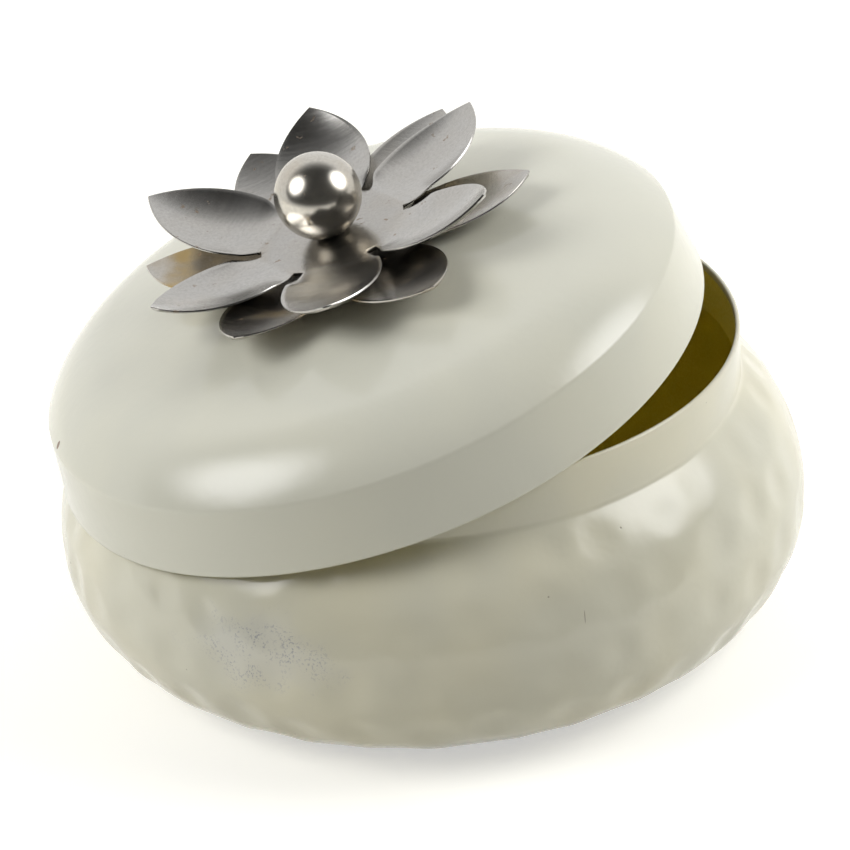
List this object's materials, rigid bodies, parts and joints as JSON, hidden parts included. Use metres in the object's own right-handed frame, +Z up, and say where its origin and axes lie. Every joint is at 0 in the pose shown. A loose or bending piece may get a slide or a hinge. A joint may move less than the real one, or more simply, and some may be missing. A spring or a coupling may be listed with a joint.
{
  "type": "trinket box",
  "caption": "Round enamelled metal trinket box with a hammered bowl, a loose domed lid lying askew, and a petalled flower knob with a polished ball.",
  "frame": {"origin": "centre of the bowl's flat bottom, on the surface that the box stands on", "axes": "+Z up along the bowl's axis, -Y towards the viewer of the picture, the lid's raised side towards +X"},
  "size_m": [0.15, 0.15, 0.0972],
  "materials": {
    "bowl_enamel": "glossy cream enamel over hammered metal, olive gold lacquer inside",
    "lid_enamel": "glossy cream enamel outside, olive gold lacquer inside",
    "petal_nickel": "nickel plated sheet, satin, a little tarnished",
    "polished_nickel": "polished nickel plate with faint tarnish",
    "plain_steel": "zinc plated steel, dull"
  },
  "bodies": {
    "bowl": {"bowl": "bowl_enamel"},
    "lid": {"lid": "lid_enamel", "petal_spacer": "plain_steel", "lower_petals": "petal_nickel", "upper_petals": "petal_nickel", "ball_knob": "polished_nickel", "flat_washer": "plain_steel", "lock_washer": "plain_steel", "knob_screw": "plain_steel"}
  },
  "joints": [
    {"name": "lid_lift", "type": "slide", "parent": "bowl", "child": "lid", "axis": [0, 0, 1], "range_m": [0, 0.1]}
  ]
}
